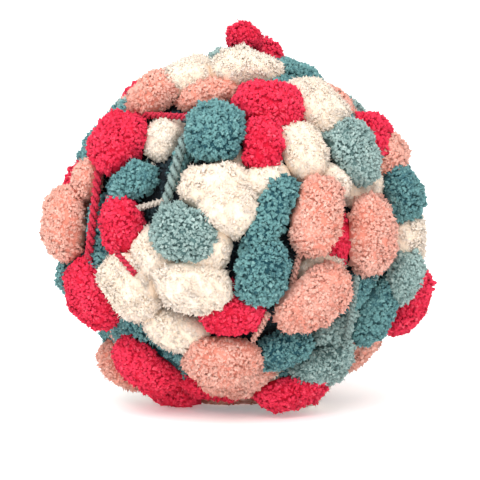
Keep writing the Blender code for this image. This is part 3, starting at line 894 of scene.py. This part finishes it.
def sum_by(operation, turned=False):
    """What an operator does to a tone: a Math node of it and the other side, in either order."""
    def worked_out(tone, other):
        pair = (other, tone) if turned else (tone, other)
        return tone.bath.node("ShaderNodeMath", {"operation": operation}, dict(enumerate(pair)))
    return worked_out


class Tone:
    """A value or colour in a material, which takes part in sums as a number does."""

    def __init__(self, bath, socket):
        self.bath = bath
        self.socket = socket

    __add__, __radd__ = sum_by("ADD"), sum_by("ADD", True)
    __sub__, __rsub__ = sum_by("SUBTRACT"), sum_by("SUBTRACT", True)
    __mul__, __rmul__ = sum_by("MULTIPLY"), sum_by("MULTIPLY", True)


class DyeBath:
    """The nodes of one material, with the noise that its look asks for."""

    def __init__(self, name, look):
        self.look = look
        self.material = bpy.data.materials.new(name)
        self.material.use_nodes = True
        self.tree = self.material.node_tree
        self.skin = self.tree.nodes["Principled BSDF"]
        self.grain = self.speckle(look.scale, look.detail, look.harsh)

    def node(self, kind, settings=None, inputs=None, output=0):
        """Adds a node, gives it its settings and then its inputs, and returns one of its outputs."""
        made = self.tree.nodes.new(kind)
        for name, value in (settings or {}).items():
            setattr(made, name, value)
        for name, value in (inputs or {}).items():
            self.feed(made.inputs[name], value)
        return Tone(self, made.outputs[output])

    def feed(self, socket, value):
        """Links a tone to a socket, or sets a plain value on it."""
        if isinstance(value, Tone):
            self.tree.links.new(value.socket, socket)
        else:
            socket.default_value = value

    def value(self, name, output="Fac"):
        """A value or colour that the mesh carries from point to point."""
        return self.node("ShaderNodeAttribute", {"attribute_name": name}, output=output)

    def speckle(self, scale, detail=2.0, roughness=0.5):
        """Soft noise through the piece, in spots of about one over the scale, in metres."""
        place = self.node("ShaderNodeTexCoord", output="Object")
        inputs = {"Vector": place, "Scale": scale, "Detail": detail, "Roughness": roughness}
        return self.node("ShaderNodeTexNoise", inputs=inputs)

    def mix(self, share_of, first, second, blend="MIX"):
        """From the first colour to the second by the share, or the two blended."""
        settings = {"data_type": "RGBA", "blend_type": blend}
        return self.node("ShaderNodeMix", settings, {0: share_of, 6: first, 7: second}, output=2)

    def ramp(self, tone, low, high):
        """Nought below the low value, one above the high one, and smooth between."""
        inputs = {"Value": tone, "From Min": low, "From Max": high}
        return self.node("ShaderNodeMapRange", {"interpolation_type": "SMOOTHSTEP"}, inputs)

    def finish(self, colour, tint):
        """Feeds the surface its colour, the tint of its sheen and what its look says."""
        look = self.look
        relief = {"Strength": look.relief, "Distance": look.depth, "Height": self.grain}
        surface = {
            "Base Color": colour, "Roughness": look.rough + look.rougher * self.grain,
            "Normal": self.node("ShaderNodeBump", inputs=relief), "Specular IOR Level": SHINE,
            "Sheen Weight": look.sheen, "Sheen Roughness": SHEEN_SPREAD, "Sheen Tint": tint,
        }
        for name, value in surface.items():
            self.feed(self.skin.inputs[name], value)
        return self.material


def dye_colours(context, letter):
    """The colours of a dye's tips, roots and flecks; the roots' colour is painted shade deep in the
    pile.
    """
    dyes, name = context.scene.yarn_dyes, DYES[letter].name
    return [(*getattr(dyes, f"{name}_{part}"), 1.0) for part in PARTS]


def pile_material(context, letter):
    """Curly pile: from the root colour deep in the pile, a painted shade, to the dye at its tips, each
    tuft a little different.
    """
    tip, root, fleck = dye_colours(context, letter)
    bath = DyeBath(DYES[letter].name, PILE_LOOK)
    shade = bath.value("shade")
    fibres = bath.grain - 0.5
    own = bath.node("ShaderNodeMath", {"operation": "FRACT"}, {0: shade * SHADE_STRIDE})
    # The height in the pile paints shade toward the roots; the tuft's own shade, its fibres and its
    # patches vary the tone at random
    tone = bath.value("reach") * TONE_FROM_REACH + own * TONE_FROM_SHADE + fibres * TONE_FROM_FIBRES
    tone = bath.ramp(tone + (bath.speckle(PATCH_SCALE) - 0.5), *TONE_SPAN)
    colour = bath.mix(tone, root, tip)
    edge = 1 - DYES[letter].flecks
    flecked = bath.ramp(shade + fibres * FLECK_FROM_FIBRES, edge - FLECK_EDGE, edge + FLECK_EDGE)
    return bath.finish(bath.mix(flecked * tone * FLECK_COVER, colour, fleck), tip)


def thread_material():
    """Twisted thread: each strand in its dye, painted darker in the creases between the strands as
    shade, with fine fibres along it.
    """
    bath = DyeBath("thread", THREAD_LOOK)
    level = THREAD_DARKEST + THREAD_LIGHTER * bath.grain
    return bath.finish(bath.mix(1.0, bath.value("dye", "Color"), level, "MULTIPLY"), THREAD_SHEEN)


def windings_material(colour):
    """The deep windings: nearly black as painted shade, with a dull cast of teal."""
    bath = DyeBath("deep_windings", WINDING_LOOK)
    cast = tuple(part * gain for part, gain in zip(colour, TEAL_CAST))
    dark = bath.mix(bath.ramp(bath.speckle(CAST_SCALE), *CAST_SPAN), colour, cast)
    return bath.finish(dark, WINDING_SHEEN)


def floor_material(colour, glow):
    """A plain pale matt floor, lit a little from below."""
    bath = DyeBath("pale_floor", FLOOR_LOOK)
    darker = tuple(part * FLOOR_DARKER for part in colour)
    level = bath.mix(bath.ramp(bath.grain, *FLOOR_SPAN), (*colour, 1), (*darker, 1))
    bath.feed(bath.skin.inputs["Emission Color"], WHITE)
    bath.feed(bath.skin.inputs["Emission Strength"], glow)
    return bath.finish(level, WHITE)


def a_number(name, description, default, **limits):
    """A number that a user may change."""
    return FloatProperty(name=name, description=description, default=default, **limits)


def a_length(name, description, default, least, most):
    """A length that a user may change, in millimetres."""
    return a_number(name, description, default * MM, min=least * MM, max=most * MM, unit="LENGTH")


def an_area(name, description, default, least, most):
    """A part of the skin that a user may change, in square millimetres."""
    return a_number(
        name, description, default * MM * MM,
        min=least * MM * MM, max=most * MM * MM, precision=8, unit="AREA")


def a_colour(name, description, default):
    """A colour that a user may change."""
    return FloatVectorProperty(
        name=name, description=description, subtype="COLOR", default=default, min=0, max=1)


# The colours of each dye's tips, roots and flecks. The roots' colours are painted shade deep in the
# pile
PARTS = ("tip", "root", "fleck")
SHADES = {
    "crimson": ((0.83, 0.037, 0.09), (0.62, 0.008, 0.035), (0.93, 0.10, 0.155)),
    "salmon": ((0.85, 0.45, 0.365), (0.72, 0.25, 0.18), (0.90, 0.57, 0.47)),
    "cream": ((0.85, 0.745, 0.65), (0.90, 0.73, 0.57), (0.90, 0.74, 0.59)),
    "teal": ((0.145, 0.31, 0.31), (0.02, 0.085, 0.11), (0.24, 0.44, 0.43)),
    "grey_teal": ((0.34, 0.465, 0.44), (0.10, 0.18, 0.175), (0.48, 0.60, 0.56)),
    # The hollow's colours are nearly black: painted shade deep between the pom poms
    "hollow": ((0.03, 0.05, 0.06), (0.006, 0.01, 0.014), (0.10, 0.16, 0.18)),
}


class YarnSizes(bpy.types.PropertyGroup):
    """Sizes of the pile."""

    tuft_thickness: a_length(
        "Tuft thickness", "How thick a tuft of the pile is near its end", 1.6, 0.1, 4)
    tuft_room: an_area("Room for a tuft", "The part of the skin that one tuft takes up", 0.78, 0.1, 20)
    tuft_stray: a_length("Stray", "How far a tuft's end strays from its lock", 0.4, 0.0, 3)
    tuft_curl: a_length("Curl", "How far a tuft's end curls over", 0.3, 0.0, 3)
    lock_room: an_area(
        "Room for a lock", "The part of the skin that one lock of tufts takes up", 4.0, 0.5, 50)
    lock_lean: a_length("Lock lean", "How far a lock leans to one side", 0.9, 0.0, 6)
    fuzz_thickness: a_length("Fuzz thickness", "How thick a single fibre is", 0.35, 0.05, 2)
    fuzz_length: a_length(
        "Fuzz length", "How far the longest fibres stand out of the tufts", 1.2, 0.0, 6)
    fuzz_room: an_area(
        "Room for fuzz", "The part of the skin that one single fibre takes up", 5.0, 0.5, 50)
    root: a_length("Root", "How deep the hairs stand in the pom pom", 2.0, 0.5, 6)
    unevenness: a_length(
        "Unevenness", "How much longer or shorter one lock is than the next", 0.7, 0.0, 3)
    trim: a_length("Trim", "How far under the outer form the even pile is cut", 0.6, 0.0, 3)
    lumps: a_length("Lumps", "How much the whole pile rises and falls", 1.5, 0.0, 3)


class YarnDyes(bpy.types.PropertyGroup):
    """Colours of the yarn: the tips, the roots and the flecks of each dye; the roots' colours, and all
    of the hollow's, are painted shade.
    """

    __annotations__ = {
        f"{dye}_{part}": a_colour(
            f"{dye} {part}s".replace("_", " ").capitalize(),
            f"Colour of the {part}s of the {dye} pile".replace("_", " "), shade)
        for dye, shades in SHADES.items() for part, shade in zip(PARTS, shades)}


class StudioSettings(bpy.types.PropertyGroup):
    """The floor, the light and the camera."""

    floor_colour: a_colour("Floor", "Colour of the floor", (0.96, 0.96, 0.96))
    floor_glow: a_number("Floor glow", "How brightly the floor is lit from below", 0.24, min=0)
    floor_radius: a_number("Floor radius", "How far the floor reaches", 6.0, min=0.5, unit="LENGTH")
    surround: a_number("Surround", "Brightness of the plain white surround", 1.25, min=0)
    key_strength: a_number("Key light", "Strength of the broad light from above", 1.8, min=0)
    key_spread: a_number(
        "Key spread", "Angle that the broad light fills, which sets how soft it is",
        math.radians(50), min=0, max=math.pi, subtype="ANGLE")
    camera_distance: a_number(
        "Camera distance", "From the camera to the middle of the ball",
        VIEW_DISTANCE * MM, min=0.3, unit="LENGTH")
    lens: a_number("Lens", "Focal length in millimetres", 169.2, min=20, max=400)


class YARN_OT_windings(bpy.types.Operator):
    """Makes the windings that the hollows between the pom poms show, coloured nearly black as painted
    shade.
    """

    bl_idname = "yarn.windings"
    bl_label = "Deep windings"

    def execute(self, context):
        bpy.ops.object.select_all(action="DESELECT")
        bpy.ops.mesh.primitive_ico_sphere_add(
            subdivisions=CORE_DETAIL, radius=CORE_RADIUS * MM, location=BALL_MIDDLE * MM)
        core = context.object
        core.name = core.data.name = "inner_windings"
        bpy.ops.object.transform_apply(location=True, rotation=True, scale=True)
        grain = bpy.data.textures.new("winding_relief", "CLOUDS")
        grain.noise_scale = CORE_GRAIN
        relief = core.modifiers.new("winding_relief", "DISPLACE")
        relief.texture = grain
        relief.texture_coords = "LOCAL"
        relief.strength = CORE_RISE * MM
        bpy.ops.object.modifier_apply(modifier=relief.name)
        bpy.ops.object.shade_smooth()
        # The windings take the hollow's root colour, nearly black: painted shade
        hand_over(core, windings_material(dye_colours(context, HOLLOW)[1]))
        return {"FINISHED"}


class YARN_OT_pom_poms(bpy.types.Operator):
    """Makes the curly cut pile: of each dye one joined mesh in front and one behind."""

    bl_idname = "yarn.pom_poms"
    bl_label = "Pom poms"

    def execute(self, context):
        sizes = context.scene.yarn_sizes
        pom_poms = [PomPom(number, *tuft) for number, tuft in enumerate(all_tufts())]
        growths = [
            (grow, [hair_spots(pom_poms, here, room / MM**2, seed) for here in pom_poms])
            for grow, room, seed in (
                (grow_tufts, sizes.tuft_room, SEED),
                (grow_fuzz, sizes.fuzz_room, SEED + 1))
        ]
        for letter, dye in DYES.items():
            material = pile_material(context, letter)
            if letter == HOLLOW:
                # The hollow's pile is nearly black: painted shade between the pom poms
                grown = [(grow_tufts, [hollow_spots(pom_poms)])]
                hand_over(make_pile("pile_hollow", letter, [], grown, sizes), material)
                continue
            for side in ("front", "back"):
                kept = [here for here in pom_poms if (here.place[1] < 0) == (side == "front")]
                grown = [(grow, [hairs[here.number] for here in kept]) for grow, hairs in growths]
                pile = make_pile(f"pile_{dye.name}_{side}", letter, kept, grown, sizes)
                hand_over(pile, material)
        return {"FINISHED"}


class YARN_OT_thread(bpy.types.Operator):
    """Makes the stretches of the linking thread that show between the pom poms."""

    bl_idname = "yarn.thread"
    bl_label = "Linking thread"

    def execute(self, context):
        chance = np.random.default_rng(SEED)
        parts = []
        for row in THREADS:
            tip, root, _ = (np.array(colour) for colour in dye_colours(context, row.dye))
            for ply in range(row.plies):
                rings, middle, outer = ply_points(row, ply)
                hairs = thread_fuzz(rings, middle, context.scene.yarn_sizes, chance)
                for form, faces, light in (
                    (rings, tube_faces(len(rings)), outer.reshape(-1, 1)),
                    (hairs, hair_faces(len(hairs))[0], np.ones((hairs.size // 3, 1))),
                ):
                    # The dye colour that each point carries: the tip colour on the crests, the root
                    # colour darkened in the creases between the plies as painted shade; the fuzz takes
                    # the tip colour
                    shade = root * CREASE * (1 - light) + tip * light
                    parts.append((form.reshape(-1, 3), faces, shade))
        points, faces, shades = joined(parts)
        # The dye attribute holds the strands' colours with their painted crease shade
        thread = make_piece("linking_thread", points + BALL_MIDDLE, faces, {"dye": shades})
        hand_over(thread, thread_material())
        return {"FINISHED"}


class YARN_OT_studio(bpy.types.Operator):
    """Lays the floor, and sets the light and the camera."""

    bl_idname = "yarn.studio"
    bl_label = "Studio"

    def execute(self, context):
        settings = context.scene.yarn_studio
        bpy.ops.object.select_all(action="DESELECT")
        bpy.ops.mesh.primitive_circle_add(
            vertices=FLOOR_SIDES, radius=settings.floor_radius, fill_type="NGON", location=(0, 0, 0))
        floor = context.object
        floor.name = "floor"
        floor.data.materials.append(floor_material(tuple(settings.floor_colour), settings.floor_glow))

        world = bpy.data.worlds.new("white_surround")
        world.use_nodes = True
        surround = world.node_tree.nodes["Background"].inputs
        surround["Color"].default_value = WHITE
        surround["Strength"].default_value = settings.surround
        context.scene.world = world

        middle = Vector(BALL_MIDDLE * MM)
        key_place = Vector(KEY_PLACE)
        bpy.ops.object.light_add(type="SUN", location=key_place)
        key = context.object
        key.name = "key_light"
        key.data.energy = settings.key_strength
        key.data.angle = settings.key_spread
        key.rotation_euler = (middle - key_place).to_track_quat("-Z", "Y").to_euler()

        toward = Vector(TOWARD_VIEWER)
        eye = toward * settings.camera_distance + Vector((0, 0, MIDDLE_HEIGHT * MM))
        bpy.ops.object.camera_add(location=eye)
        camera = context.object
        camera.rotation_euler = (-toward).to_track_quat("-Z", "Y").to_euler()
        camera.data.lens = settings.lens
        camera.data.sensor_width = SENSOR_WIDTH
        camera.data.shift_x, camera.data.shift_y = (shift / PHOTO_SIDE for shift in PHOTO_SHIFT)
        camera.data.dof.use_dof = False
        context.scene.camera = camera
        context.scene.view_settings.view_transform = "Standard"
        return {"FINISHED"}


class YARN_PT_panel(bpy.types.Panel):
    """Lists the steps and their settings."""

    bl_label = "Pom pom yarn"
    bl_idname = "YARN_PT_panel"
    bl_space_type = "VIEW_3D"
    bl_region_type = "UI"
    bl_category = "Yarn"

    def draw(self, context):
        for step in STEPS:
            self.layout.operator(step.bl_idname)
        for group in SETTINGS:
            settings = getattr(context.scene, group)
            box = self.layout.box()
            for name in settings.bl_rna.properties.keys():
                if name not in {"rna_type", "name"}:
                    box.prop(settings, name)


SETTINGS = {"yarn_sizes": YarnSizes, "yarn_dyes": YarnDyes, "yarn_studio": StudioSettings}
STEPS = (YARN_OT_windings, YARN_OT_pom_poms, YARN_OT_thread, YARN_OT_studio)
CLASSES = (*SETTINGS.values(), *STEPS, YARN_PT_panel)


def register():
    """Makes the steps and their settings known."""
    for made in CLASSES:
        bpy.utils.register_class(made)
    for name, settings in SETTINGS.items():
        setattr(bpy.types.Scene, name, PointerProperty(type=settings))


def unregister():
    """Takes the steps and their settings away again."""
    for name in SETTINGS:
        delattr(bpy.types.Scene, name)
    for made in reversed(CLASSES):
        bpy.utils.unregister_class(made)


def main():
    """Makes every piece and the studio."""
    register()
    bpy.ops.yarn.windings()
    bpy.ops.yarn.pom_poms()
    bpy.ops.yarn.thread()
    bpy.ops.yarn.studio()


if __name__ == "__main__":
    main()
